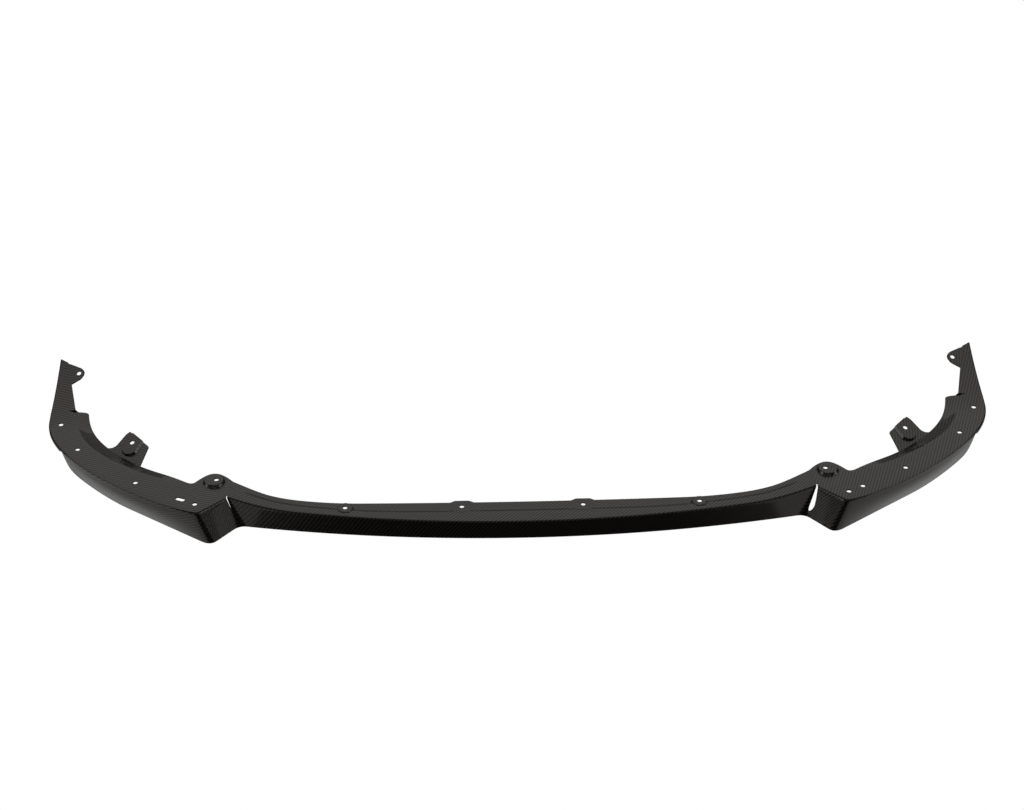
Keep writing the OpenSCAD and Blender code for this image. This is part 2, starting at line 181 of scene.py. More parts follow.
def nose_rear(x):
    share = max(x - REAR_BEND_X, 0) / (NOSE_HALF - REAR_BEND_X)
    return Vector((x, NOSE_DEPTH + REAR_BEND * share**2))


def nose_crease(x):
    share = max(x - CREASE_BEND_X, 0) / (NOSE_HALF - CREASE_BEND_X)
    return Vector((x, STRIP_DEPTH + CREASE_BEND * share**2))


inside_top, inside_low = nose_front(NOSE_HALF), nose_front(nose_half_low)
forward_top = Vector((corner_x, CORNER_Y))
forward_low = forward_top - Vector((CORNER_LEAN, CORNER_PUSH))
seat_from = nose_rear(NOSE_HALF - REAR_IN)
notch = Vector((corner_x + NOTCH_OUT, seat_from.y - NOTCH_FORWARD))

# %% Plan curves of a wing
wing_end = Vector((side_x, FLANGE_Y - WING_END_FORWARD))
flange_end = Vector((side_x - FLANGE_END_IN, FLANGE_Y))
strip_inner = Vector((side_x - STRIP_IN, FLANGE_Y + STRIP_BACK))
crease_from = lerp(forward_top, notch, CREASE_FROM_SHARE)
crease_to = lerp(flange_end, wing_end, CREASE_TO_SHARE)


def wing_front(w):
    return handled_curve(forward_top, wing_end, FRONT_CURVE, w)


def wing_inner(w):
    return handled_curve(notch, flange_end, INNER_CURVE, w)


def wing_crease(w):
    return handled_curve(crease_from, crease_to, CREASE_CURVE, w)


def along(curve, w, step=0.01):
    return (curve(w + step) - curve(w - step)).normalized()


# %% [markdown]
# ## Heights
#
# The top of the nose rises slowly towards its ends and then kicks up to the corner. A
# wing's top climbs a little towards the side, and its narrow end sweeps up to the tip.


# %% Height of the top, and how much of the crease's step there is
def nose_top(x):
    kick = clamp((x - NOSE_HALF + KICK_LEN) / KICK_LEN)
    return NOSE_H + NOSE_CROWN * (x / NOSE_HALF) ** 2 + NOSE_KICK * kick**2


def wing_top(p):
    out = clamp((p.x - corner_x) / (side_x - corner_x))
    back = clamp((p.y - kick_from_y) / (TIP_Y - kick_from_y))
    return lerp(corner_h, SIDE_H, out) + TIP_RISE * back**TIP_SWEEP


def top_z(p):
    return nose_top(p.x) if p.x < NOSE_HALF else wing_top(p)


def lifted(p, dz=0.0):
    return Vector((p.x, p.y, top_z(p) + dz))


def nose_step(x):
    return STEP_H * (1 - smooth((x - NOSE_HALF + STEP_LEFT) / STEP_FADE))


def wing_step(w):
    return STEP_H * smooth((w - WING_STEP_FROM) / WING_STEP_OVER)


def wing_fall(w):
    return FLANGE_FALL * smooth((w - WING_FALL_FROM) / WING_FALL_OVER)


# %% Lower edge of a wing's face
face_end = wing_front(FACE_SHARE)
face_turn = (wing_front(FACE_SHARE) - wing_front(FACE_SHARE - NEARBY)).normalized()
face_low_end = face_end + left_of(face_turn) * FACE_END_OUT


def face_low(w):
    g = w / FACE_SHARE
    t = clamp((g - RISE_FROM) / (1 - RISE_FROM))
    p = lerp(forward_low, face_low_end, g)
    rim_z = top_z(face_end) - RIM_H
    return Vector((p.x, p.y, rim_z * (SLOW_RISE * t * t + (1 - SLOW_RISE) * t**LAST_RISE)))


def rim_low(p):
    return Vector((p.x, p.y, top_z(p) - RIM_H))


# %% [markdown]
# ## Stations
#
# A station is one cut across the lip. It says where the rear edge, the crease, the
# front top edge and the front bottom edge are, how deep the crease's step is, and how
# far the face swells. Stations stand closer together where a line turns quickly.

# %% Zones of the cloth
NOSE, CORNER, WING = 0, 1, 2


# %% Stations of the four stretches
def station(zone, rear, crease, top, low, step=(0, STEP_RUN, 0), swell=Vector((0, 0))):
    """A station's step holds its drop, its run and the further fall to the rear edge."""
    return {"zone": zone, "rear": rear, "crease": crease, "top": top, "low": low,
            "step": Vector(step), "swell": swell}


wall_top_len = (forward_top - inside_top).length
wall_low_len = (forward_low - inside_low).length


def nose_station(s):
    x = (NOSE_HALF - INSIDE_ROUND_TOP) * s
    low = nose_front((nose_half_low - INSIDE_ROUND) * s)
    rear = nose_rear(min(x, NOSE_HALF - 2 * REAR_IN))
    return station(NOSE, rear, nose_crease(x), nose_front(x), low.to_3d(),
                   (nose_step(x), STEP_RUN, 0))


def corner_station(u):
    r = lerp(REAR_LINE_FROM, REAR_LINE_TO, u)
    rear = lerp(seat_from, notch, r) + Vector((0, CORNER_SEAT_OUT * math.sin(math.pi * r)))
    top_run = lerp(INSIDE_ROUND_TOP, wall_top_len - CORNER_ROUND_TOP, u)
    low_run = lerp(INSIDE_ROUND, wall_low_len - CORNER_ROUND, u)
    top = lerp(inside_top, forward_top, top_run / wall_top_len)
    low = lerp(inside_low, forward_low, low_run / wall_low_len)
    crease = lerp(top, rear, lerp(CORNER_CREASE, CREASE_FROM_SHARE, u))
    return station(CORNER, rear, crease, top, low.to_3d())


def wing_station(w):
    top = wing_front(w)
    share = math.sin(math.pi * w / FACE_SHARE) if w < FACE_SHARE else 0
    swell = left_of(along(wing_front, w)) * (-FACE_SWELL * share)
    low = face_low(w) if w <= FACE_SHARE else rim_low(top)
    step = (wing_step(w), WING_STEP_RUN, wing_fall(w))
    return station(WING, wing_inner(w), wing_crease(w), top, low, step, swell)


def flange_station(t):
    rear = bow(flange_end, flange_end + FLANGE_PULL, strip_inner + STRIP_PULL, t)
    top = wing_end + Vector((0, FLANGE_RUN * t))
    crease = lerp(crease_to, strip_inner + STRIP_CREASE_OFF, t)
    return station(WING, rear, crease, top, rim_low(top),
                   (STEP_H, WING_STEP_RUN, FLANGE_FALL * (1 - FLANGE_EASE * t)))


def strip_station(v):
    tip = Vector((side_x - TIP_IN, TIP_Y))
    top = lerp(wing_end + Vector((0, STRIP_FROM)), tip, v)
    inner = lerp(strip_inner, tip - Vector((TIP_W, TIP_SLANT)), v**STRIP_CROWDING)
    return station(WING, inner, lerp(inner, top, STRIP_CREASE), top, rim_low(top))


# %% Rounded corners between two stretches
def rounded(a, middle, b, t, zone):
    """Bow every line from one station to another, pulled towards a middle one."""
    lines = {key: bow(a[key], middle[key], b[key], t) for key in ("rear", "crease", "top", "low")}
    return station(zone, **lines, step=lerp(a["step"], b["step"], t),
                   swell=lerp(a["swell"], b["swell"], t))


wing_from = CORNER_ROUND / (3 * FRONT_CURVE[1])
inside_corner = station(CORNER, seat_from, nose_crease(NOSE_HALF), inside_top, inside_low.to_3d())
forward_corner = station(CORNER, notch, crease_from, forward_top, forward_low.to_3d())

# %% The row of stations, from the middle to the right tip
NOSE_STEPS, CORNER_STEPS, ROUND_STEPS = 62, 10, 10
FACE_STEPS, SIDE_STEPS, FLANGE_STEPS, STRIP_STEPS = 58, 22, 5, 18
NOSE_CROWDING, FACE_CROWDING = 1.15, 1.4
row_of_stations = (
    [nose_station(1 - (1 - i / NOSE_STEPS) ** NOSE_CROWDING) for i in range(NOSE_STEPS + 1)]
    + [rounded(nose_station(1), inside_corner, corner_station(0), i / ROUND_STEPS,
               NOSE if i <= ROUND_STEPS / 2 else CORNER) for i in range(1, ROUND_STEPS)]
    + [corner_station(i / CORNER_STEPS) for i in range(CORNER_STEPS + 1)]
    + [rounded(corner_station(1), forward_corner, wing_station(wing_from), i / ROUND_STEPS,
               CORNER if i <= ROUND_STEPS / 2 else WING) for i in range(1, ROUND_STEPS)]
    + [wing_station(lerp(wing_from, FACE_SHARE, 1 - (1 - i / FACE_STEPS) ** FACE_CROWDING))
       for i in range(FACE_STEPS + 1)]
    + [wing_station(lerp(FACE_SHARE, 1, i / SIDE_STEPS)) for i in range(1, SIDE_STEPS + 1)]
    + [flange_station(i / FLANGE_STEPS) for i in range(1, FLANGE_STEPS + 1)]
    + [strip_station(i / STRIP_STEPS) for i in range(STRIP_STEPS + 1)]
)
run = 0.0
for before, after in zip(row_of_stations, row_of_stations[1:]):
    before["run"] = run
    run += (after["top"] - before["top"]).length
row_of_stations[-1]["run"] = run
print(len(row_of_stations), "stations on each side, front edge", round(run), "mm long")

# %% [markdown]
# ## The section
#
# From the rear edge the section runs flat to the foot of the step, up over the crease,
# flat to the front, round the top edge and down the face. The mould has no sharp
# corners, so the foot, the crease and the edge are small arcs. Each point also keeps
# how far down the face it lies, measured along the surface, which the cloth needs.

# %% Section of one station
BEND_R, WING_BEND_R, BEND_ROOM = 3.2, 7, 2.2
EDGE_TURNS, FACE_TURNS, FLAT_TURNS = 6, 9, 4
SWELL_TOP, SWELL_LESS = 5.7, 3.65


def bend(before, corner, after, reach, turns=3):
    a = corner + (before - corner).normalized() * min(reach, (before - corner).length / BEND_ROOM)
    b = corner + (after - corner).normalized() * min(reach, (after - corner).length / BEND_ROOM)
    shares = [i / turns for i in range(turns + 1)]
    return [bow(a, corner, b, t) for t in shares]


def section(st):
    top, low = lifted(st["top"]), st["low"]
    drop, step_run, sag = st["step"]
    rear = lifted(st["rear"], -drop - sag)
    crease = lifted(st["crease"])
    to_rear = st["rear"] - st["crease"]
    foot_at = st["crease"] + to_rear.normalized() * min(step_run, to_rear.length / 2)
    foot = lifted(foot_at, -drop)
    back, down = (crease - top).normalized(), (low - top).normalized()
    flat_end, face_top = top + back * EDGE_R, top + down * EDGE_R
    reach = lerp(BEND_R, WING_BEND_R, (step_run - STEP_RUN) / (WING_STEP_RUN - STEP_RUN))
    foot_bend = bend(rear, foot, crease, reach)
    crease_bend = bend(foot, crease, flat_end, reach)
    points = [(lerp(rear, foot_bend[0], i / FLAT_TURNS), 0.0) for i in range(FLAT_TURNS)]
    points += [(p, 0.0) for p in foot_bend + crease_bend]
    points += [(lerp(crease_bend[-1], flat_end, i / FLAT_TURNS), 0.0)
               for i in range(1, FLAT_TURNS)]
    for i in range(EDGE_TURNS + 1):
        a = math.pi / 2 * i / EDGE_TURNS
        p = top + back * (EDGE_R * (1 - math.sin(a))) + down * (EDGE_R * (1 - math.cos(a)))
        points.append((p, EDGE_R * i / EDGE_TURNS))
    height = (low - face_top).length
    for i in range(1, FACE_TURNS + 1):
        t = i / FACE_TURNS
        puff = t * (1 - t) * (SWELL_TOP - SWELL_LESS * t)
        points.append((lerp(face_top, low, t) + st["swell"].to_3d() * puff, EDGE_R + height * t))
    return points


ROWS = len(section(row_of_stations[0]))
TOP_ROWS = ROWS - FACE_TURNS - EDGE_TURNS // 2 - 1
print(ROWS, "points across the lip,", TOP_ROWS, "of them on top")

# %% [markdown]
# ## The sweep
#
# The section at the middle is drawn as a line of edges. Extruding that line to each
# next station in turn leaves a strip of faces behind, exactly as a lofted surface is
# made in a drawing program. Only the right half is swept; the left half is its mirror.


# %% Start the right half
TOUCHING = 1e-6


def in_scene(p):
    return Vector((p.x, p.y - TIP_Y / 2, p.z)) / 1000


sheet = bmesh.new()
row_key = sheet.verts.layers.int.new("row")
run_key = sheet.verts.layers.float.new("run")
fall_key = sheet.verts.layers.float.new("fall")
zone_key = sheet.faces.layers.int.new("zone")
front_key = sheet.faces.layers.int.new("front")


def settle_row(verts, st):
    points = section(st)
    for vert in verts:
        p, below = points[vert[row_key]]
        vert.co = in_scene(p)
        vert[run_key], vert[fall_key] = st["run"], below


line = [sheet.verts.new() for i in range(ROWS)]
for i, vert in enumerate(line):
    vert[row_key] = i
settle_row(line, row_of_stations[0])
edges = [sheet.edges.new(pair) for pair in zip(line, line[1:])]

# %% Extrude the line from station to station
for st in row_of_stations[1:]:
    made = bmesh.ops.extrude_edge_only(sheet, edges=edges)["geom"]
    verts = [item for item in made if isinstance(item, bmesh.types.BMVert)]
    fresh = set(verts)
    edges = [item for item in made if isinstance(item, bmesh.types.BMEdge)
             and item.verts[0] in fresh and item.verts[1] in fresh]
    settle_row(verts, st)
    for edge in edges:
        for face in edge.link_faces:
            face[zone_key] = st["zone"]
            face[front_key] = int(min(v[row_key] for v in edge.verts) >= TOP_ROWS)
print("right half:", len(sheet.verts), "vertices,", len(sheet.faces), "faces")

# %% Mirror it to the left
bmesh.ops.mirror(sheet, geom=sheet.verts[:] + sheet.edges[:] + sheet.faces[:],
                 matrix=Matrix.Identity(4), merge_dist=TOUCHING, axis="X")
bmesh.ops.remove_doubles(sheet, verts=sheet.verts[:], dist=TOUCHING)
bmesh.ops.recalc_face_normals(sheet, faces=sheet.faces[:])
sheet.faces.ensure_lookup_table()
facing = sum(face.normal.z * face.calc_area() for face in sheet.faces)
if facing < 0:
    bmesh.ops.reverse_faces(sheet, faces=sheet.faces[:])
print("whole sheet:", len(sheet.faces), "faces")

# %% [markdown]
# ## Moulded seats
#
# The flat pads, the round seats and the corner discs aren't separate pieces: the mould
# pushes the cloth up there. So the sheet is divided finely around each one, and its
# points are raised to the seat's shape wherever that stands higher than the sheet.

# %% Where the seats are
SEAT_HOLE_R, PAD_X, PAD_W, PAD_FOOT_W, PAD_PROUD = 4.5, 112, 26, 44, 0.3
SEAT_X, SEAT_R, SEAT_RISE, SIDE_RUN = 327, 13.5, 1.5, 0.4
PAD_FORWARD, PAD_FROM, SEAT_IN = 1.5, 3, 19
DISC_R, DISC_H, DISC_SHARE, DISC_BACK, DISC_OFFSET = 18, 6, 0.39, 1.5, 4.5
PAD_REACH, SEAT_REACH, DISC_REACH, FINER = 34, 26, 30, 4
pad_middle = (nose_crease(PAD_X).y + nose_rear(PAD_X).y) / 2
pad_at = Vector((PAD_X, pad_middle - PAD_FORWARD))
seat_at = Vector((SEAT_X, nose_rear(SEAT_X).y - SEAT_IN))
disc_hole_at = lerp(seat_from, notch, DISC_SHARE) + Vector((0, DISC_BACK))
disc_at = disc_hole_at + Vector((DISC_OFFSET, 0))


# %% Height of each seat over the plan
def soft_max(a, b, soft=0.7):
    h = clamp(0.5 + 0.5 * (b - a) / soft)
    return lerp(a, b, h) + soft * h * (1 - h)


def soft_min(a, b, soft=0.7):
    return -soft_max(-a, -b, soft)


def round_seat(centre, radius, rise):
    def height(p):
        away = (p - centre).length - radius
        return top_z(p) + soft_min(rise, rise - away / SIDE_RUN)
    return height


def pad(p):
    top = STEP_H + PAD_PROUD
    run_out = (PAD_FOOT_W - PAD_W) / 2 / top
    away = abs(p.x - PAD_X) - PAD_W / 2
    if p.y < nose_crease(PAD_X).y - PAD_FROM:
        return 0.0
    return nose_top(PAD_X) + soft_min(PAD_PROUD, PAD_PROUD - away / run_out)


seats = [(pad_at, PAD_REACH, pad),
         (seat_at, SEAT_REACH, round_seat(seat_at, SEAT_R, SEAT_RISE)),
         (disc_at, DISC_REACH, round_seat(disc_at, DISC_R, DISC_H))]

# %% Divide the sheet around the seats and raise it
for centre, reach, height in seats:
    for sign in (1, -1):
        middle = in_scene(Vector((centre.x * sign, centre.y, 0)))
        near = [face for face in sheet.faces if not face[front_key]
                and (face.calc_center_median().xy - middle.xy).length < reach / 1000]
        near_edges = list({edge for face in near for edge in face.edges})
        bmesh.ops.subdivide_edges(sheet, edges=near_edges, cuts=FINER, use_grid_fill=True)
        for vert in sheet.verts:
            if (vert.co.xy - middle.xy).length < reach / 1000:
                p = Vector((vert.co.x * sign * 1000, vert.co.y * 1000 + TIP_Y / 2))
                if vert[fall_key] <= 0:
                    vert.co.z = soft_max(vert.co.z * 1000, height(p)) / 1000
print("sheet with its seats:", len(sheet.faces), "faces")

# %% [markdown]
# ## Lie of the cloth
#
# Twill cloth shows fine diagonal lines. One cloth lies over the nose and another over
# each wing, turned differently, so the lines change direction at the inside corners.
# The UV map holds the place on the flat cloth in metres. On top that is the plan view,
# and on a face it is the run along the edge and the fall below it, as if the face were
# folded up flat.

# %% Write the cloth's own coordinates
# Turns in degrees, for each zone on the top (0) and on a face (1).
CLOTH_TURN = {(NOSE, 0): 0, (NOSE, 1): 0, (CORNER, 0): 26, (CORNER, 1): 10,
              (WING, 0): 26, (WING, 1): 12}
LEFT_TURN = {(NOSE, 0): 0, (NOSE, 1): 0, (CORNER, 0): -60, (CORNER, 1): 0,
             (WING, 0): -60, (WING, 1): -20}
cloth = sheet.loops.layers.uv.new("cloth")
for face in sheet.faces:
    right = face.calc_center_median().x > 0
    key = (face[zone_key], face[front_key])
    angle = math.radians((CLOTH_TURN if right else LEFT_TURN)[key])
    for loop in face.loops:
        vert = loop.vert
        if face[front_key]:
            flat = Vector((vert[run_key] * (1 if right else -1), -vert[fall_key])) / 1000
        else:
            flat = vert.co.xy
        loop[cloth].uv = Matrix.Rotation(-angle, 2) @ flat
print("cloth laid on", len(sheet.faces), "faces")


# %% [markdown]
# ## Thickness
#
# The sheet is the outside of the laminate. Solidify grows it inwards by the wall, with
# even thickness round the bends. Where a tight bend throws an inside point far out, it
# is pulled back. The lower edges are then trimmed level with the ground, as a saw trims
# the real shell.


# %% Turn the sheet into a shell
def new_object(name, source):
    mesh = bpy.data.meshes.new(name)
    source.to_mesh(mesh)
    source.free()
    made = bpy.data.objects.new(name, mesh)
    bpy.context.scene.collection.objects.link(made)
    return made


def settle(piece):
    """Replace the piece's mesh by what its modifiers make of it."""
    graph = bpy.context.evaluated_depsgraph_get()
    mesh = bpy.data.meshes.new_from_object(piece.evaluated_get(graph))
    piece.modifiers.clear()
    piece.data = mesh


lip = new_object("carbon_lip", sheet)
wall = lip.modifiers.new("wall", "SOLIDIFY")
wall.thickness = WALL / 1000
wall.offset = -1
wall.use_even_offset = True
wall.use_quality_normals = True
outside_count = len(lip.data.vertices)
settle(lip)

# %% Keep every inside point near its outside one, and trim the foot
FARTHEST_WALLS = 1.5
farthest = FARTHEST_WALLS * WALL / 1000
shell_points = list(lip.data.vertices)
pulled = 0
for outside, inside in zip(shell_points[:outside_count], shell_points[outside_count:]):
    gap = inside.co - outside.co
    if gap.length > farthest:
        inside.co = outside.co + gap * (farthest / gap.length)
        pulled += 1
for vertex in shell_points:
    vertex.co.z = max(vertex.co.z, 0.0)
print("shell:", len(lip.data.polygons), "faces,", pulled, "inside points pulled back")

# %% [markdown]
# ## Ears and tabs
#
# An ear turns up from each wing's inner edge and carries a raised seat, and a small tab
# stands beside each tip. They are plates with rounded corners, drawn flat in their own
# frame, then tilted into place and welded to the shell. An ear's seat is cut off where
# the ear ends.

# %% Frames on the top surface
EAR_ROOT_W, EAR_END_W, EAR_LEN, EAR_TILT, EAR_SEAT_H = 72, 58, 50, 18, 5
EAR_SHARE, EAR_HOLE_AT, EAR_SEAT_AT = 0.476, Vector((12, 34.5)), Vector((7, 22))
EAR_SEAT_R, EAR_RUN, EAR_ROUND, EAR_SEAT_END = 14, 0.5, 5, Vector((13, 53))
EAR_SHIFT, EAR_END_FROM, COLUMN_H, SMALL_CLOTH_TURN = 1, -20, 30, 38
TAB_LEN, TAB_W, TAB_HOLE_R, TAB_TILT, TAB_ROUND, TAB_HOLE_IN = 27, 58, 4.5, 8, 4, 11
TAB_IN, TAB_FORWARD, TAB_HOLE_FORWARD = 29, 31, 1


def climb(p, d):
    return (top_z(p + d) - top_z(p - d)) / (2 * d.length)


def on_top(p, drop=0.0):
    lean_x = math.atan(climb(p, Vector((0, 2))))
    lean_y = -math.atan(climb(p, Vector((2, 0))))
    return (Matrix.Translation(lifted(p, -drop)) @ Matrix.Rotation(lean_y, 4, "Y")
            @ Matrix.Rotation(lean_x, 4, "X"))


ear_root = wing_inner(EAR_SHARE)
ear_turn = along(wing_inner, EAR_SHARE, NEARBY)
ear_frame = (on_top(ear_root, wing_step(EAR_SHARE) + wing_fall(EAR_SHARE))
             @ Matrix.Rotation(math.atan2(ear_turn.y, ear_turn.x), 4, "Z")
             @ Matrix.Rotation(math.radians(EAR_TILT), 4, "X"))
tab_frame = (on_top(Vector((side_x - TAB_IN, TIP_Y - TAB_FORWARD)))
             @ Matrix.Rotation(math.radians(TAB_TILT), 4, "Y"))


# %% A plate with rounded corners, and a raised seat with two round ends
def both_sides(bm, place):
    """Put a shape, drawn in millimetres in its own frame, on the right and on the left."""
    bmesh.ops.transform(bm, matrix=place, verts=bm.verts[:])
    for vert in bm.verts:
        vert.co = in_scene(vert.co)
    bmesh.ops.mirror(bm, geom=bm.verts[:] + bm.edges[:] + bm.faces[:],
                     matrix=Matrix.Identity(4), merge_dist=-1.0, axis="X")
    bmesh.ops.recalc_face_normals(bm, faces=bm.faces[:])


def rounded_plate(outline, radius, thick):
    bm = bmesh.new()
    face = bm.faces.new([bm.verts.new((x, y, 0)) for x, y in outline])
    bmesh.ops.bevel(bm, geom=face.verts[:], offset=radius, offset_type="OFFSET", segments=5,
                    profile=0.5, affect="VERTICES", material=-1, clamp_overlap=True)
    made = bmesh.ops.extrude_face_region(bm, geom=bm.faces[:])["geom"]
    verts = [item for item in made if isinstance(item, bmesh.types.BMVert)]
    bmesh.ops.translate(bm, verts=verts, vec=(0, 0, -thick))
    bmesh.ops.recalc_face_normals(bm, faces=bm.faces[:])
    return bm


def long_seat(ends, low, low_r, high, high_r):
    bm = bmesh.new()
    made = bmesh.ops.create_cone(bm, cap_ends=True, segments=40, radius1=low_r, radius2=high_r,
                                 depth=high - low)["verts"]
    bmesh.ops.translate(bm, verts=made, vec=(0, 0, (high + low) / 2))
    reach = ends[1] - ends[0]
    for vert in made:
        shift = ends[1] if vert.co.xy.dot(reach) > 0 else ends[0]
        vert.co.xy += shift
    return bm


# %% Weld and cut with one helper
def combine(piece, other, operation):
    step = piece.modifiers.new(operation.lower(), "BOOLEAN")
    step.operation = operation
    step.solver = "EXACT"
    step.object = other
    settle(piece)
    bpy.data.objects.remove(other)


def flat_cloth(bm, turn_by):
    """Lay the cloth on a small piece by its plan view."""
    layer = bm.loops.layers.uv.new("cloth")
    for face in bm.faces:
        sign = 1 if face.calc_center_median().x > 0 else -1
        for loop in face.loops:
            loop[layer].uv = Matrix.Rotation(math.radians(-turn_by * sign), 2) @ loop.vert.co.xy


# %% Ears
ear_from, ear_to = EAR_SHIFT - EAR_ROOT_W / 2, EAR_SHIFT + EAR_ROOT_W / 2
ear_end = EAR_END_FROM + EAR_END_W
ear_outline = [(ear_from - 5, -3), (ear_to + 16, -3), (ear_to + 16, 1), (ear_to + 9, 4),
               (ear_to + 4, 8), (ear_to + 1, 15), (ear_end + 2, EAR_LEN - 5),
               (ear_end, EAR_LEN + 4.5), (EAR_END_FROM, EAR_LEN - 4.5),
               (ear_from, 8), (ear_from - 3, 1)]
ear = rounded_plate(ear_outline, EAR_ROUND, WALL)
both_sides(ear, ear_frame)
flat_cloth(ear, SMALL_CLOTH_TURN)
combine(lip, new_object("ear", ear), "UNION")

seat_low, seat_foot = -WALL / 2, EAR_SEAT_R + EAR_RUN * (EAR_SEAT_H + WALL / 2)
ear_seat = long_seat((EAR_SEAT_AT, EAR_SEAT_END), seat_low, seat_foot, EAR_SEAT_H, EAR_SEAT_R)
both_sides(ear_seat, ear_frame)
flat_cloth(ear_seat, SMALL_CLOTH_TURN)
seat_piece = new_object("ear_seat", ear_seat)
ear_column = rounded_plate(ear_outline, EAR_ROUND, COLUMN_H)
both_sides(ear_column, ear_frame @ Matrix.Translation((0, 0, COLUMN_H / 2)))
combine(seat_piece, new_object("ear_column", ear_column), "INTERSECT")
combine(lip, seat_piece, "UNION")

# %% Tabs
tab_half = TAB_W / 2
tab_outline = [(10, -tab_half - 2), (14, tab_half - 4), (3, tab_half - 7), (6 - TAB_LEN, 10),
               (-TAB_LEN, 3), (-TAB_LEN, -4), (5 - TAB_LEN, -14), (-2, 2 - tab_half)]
tab = rounded_plate(tab_outline, TAB_ROUND, WALL)
both_sides(tab, tab_frame)
flat_cloth(tab, SMALL_CLOTH_TURN)
combine(lip, new_object("tab", tab), "UNION")
print("shell with ears and tabs:", len(lip.data.polygons), "faces")

# %% [markdown]
# ## Holes and slits
#
# All openings are cut through the finished shell, as they are drilled and milled on the
# real one. A cone with two equal ends is a drill, and the long cutters are stretched
# cones or an extruded outline.

# %% Cutting shapes
CUT = 30


def drill(place, radius, depth=CUT):
    bm = bmesh.new()
    made = bmesh.ops.create_cone(bm, cap_ends=True, segments=48, radius1=radius, radius2=radius,
                                 depth=depth)["verts"]
    bmesh.ops.transform(bm, matrix=place, verts=made)
    return bm


def upright(p, turn_by=0.0, dz=0.0):
    return Matrix.Translation(lifted(p, dz)) @ Matrix.Rotation(math.radians(turn_by), 4, "Z")


# %% Gather the cutters of both sides into one tool
def take(target, bm, mirrored=False):
    if mirrored:
        bmesh.ops.scale(bm, vec=(-1, 1, 1), verts=bm.verts[:])
        bmesh.ops.reverse_faces(bm, faces=bm.faces[:])
    bmesh.ops.recalc_face_normals(bm, faces=bm.faces[:])
    mesh = bpy.data.meshes.new("cutter")
    bm.to_mesh(mesh)
    bm.free()
    target.from_mesh(mesh)
    bpy.data.meshes.remove(mesh)


PLATE_HOLE_R, LOCATE_R, LOCATE_LEN = 4.5, 4.5, 18
PLATE_SPOTS = ((0.942, 0.302), (0.698, 0.342), (0.323, 0.374), (0, 0.33))
LOCATE_SPOT = (0.081, 0.359)


def plate_at(spot):
    return lerp(wing_front(spot[0]), wing_inner(spot[0]), spot[1])


in_ear = Matrix.Translation(EAR_HOLE_AT.to_3d())
in_tab = Matrix.Translation(Vector((TAB_HOLE_IN - TAB_LEN, -TAB_HOLE_FORWARD, 0)))
ear_hole, tab_hole = ear_frame @ in_ear.translation, tab_frame @ in_tab.translation
print("ear hole at", in_scene(ear_hole), "tab hole at", in_scene(tab_hole))

# %% Openings that both sides have
tool = bmesh.new()
for mirrored in (False, True):
    for spot in (pad_at, seat_at, disc_hole_at):
        take(tool, drill(upright(spot), SEAT_HOLE_R), mirrored)
    for spot in PLATE_SPOTS:
        take(tool, drill(upright(plate_at(spot)), PLATE_HOLE_R), mirrored)
    take(tool, drill(ear_frame @ in_ear, SEAT_HOLE_R), mirrored)
    take(tool, drill(tab_frame @ in_tab, TAB_HOLE_R), mirrored)

# %% [markdown]
# Three openings differ between the sides. The locating hole is round on the right and
# long on the left, only the right wing has the clip slot, and the slit in the inside
# corner is wide on the right and nearly closed on the left.

# %% Openings that differ between the sides
CLIP_SHARE, CLIP_LEN, CLIP_W = 0.36, 19, 3
locate_at = plate_at(LOCATE_SPOT)
locate_turn = wing_front(LOCATE_SPOT[0] + NEARBY) - wing_front(LOCATE_SPOT[0])
locate_angle = math.degrees(math.atan2(locate_turn.y, locate_turn.x))
take(tool, drill(upright(locate_at), LOCATE_R))
slot_ends = [Vector((end * (LOCATE_LEN / 2 - LOCATE_R), 0)) for end in (-1, 1)]
long_hole = long_seat(slot_ends, -CUT / 2, LOCATE_R, CUT / 2, LOCATE_R)
bmesh.ops.transform(long_hole, matrix=upright(locate_at, locate_angle), verts=long_hole.verts[:])
take(tool, long_hole, True)

clip = bmesh.new()
clip_turn = along(wing_crease, CLIP_SHARE, NEARBY)
bmesh.ops.create_cube(clip, size=1)
bmesh.ops.scale(clip, vec=(CLIP_LEN, CLIP_W, CUT), verts=clip.verts[:])
bmesh.ops.translate(clip, vec=(0, CLIP_W / 2, 0), verts=clip.verts[:])
clip_place = upright(wing_crease(CLIP_SHARE), math.degrees(math.atan2(clip_turn.y, clip_turn.x)))
bmesh.ops.transform(clip, matrix=clip_place, verts=clip.verts[:])
take(tool, clip)


# %% Slits of the inside corners
SLIT_OUT, SLIT_BACK = 2, 7
DROP = ((0, 0.35), (0.02, 0.6), (0.12, 0.88), (0.25, 1), (0.5, 0.85))


def slit(width, top_width):
    """A drop on the outer side, wide near its foot, and a straight inner side."""
    lean, tall = INSIDE_LEAN / corner_h, corner_h - SLIT_FLOOR

    def at(share, out):
        z = SLIT_FLOOR + tall * share
        return (nose_half_low + lean * z + SLIT_OUT + out, nose_front(NOSE_HALF).y + SLIT_BACK, z)

    bm = bmesh.new()
    corners = [at(share, width * part) for share, part in DROP]
    corners += [at(1.04, top_width), at(1.04, 0), at(0.15, 0), at(0.04, width * 0.12)]
    bm.faces.new([bm.verts.new(corner) for corner in corners])
    made = bmesh.ops.extrude_face_region(bm, geom=bm.faces[:])["geom"]
    bmesh.ops.translate(bm, verts=[v for v in made if isinstance(v, bmesh.types.BMVert)],
                        vec=(0, -CUT, 0))
    return bm


take(tool, slit(SLIT_W, SLIT_W * 0.3))
take(tool, slit(SLIT_W_LEFT, SLIT_W_LEFT * 3), True)
print("cutting tool:", len(tool.faces), "faces")

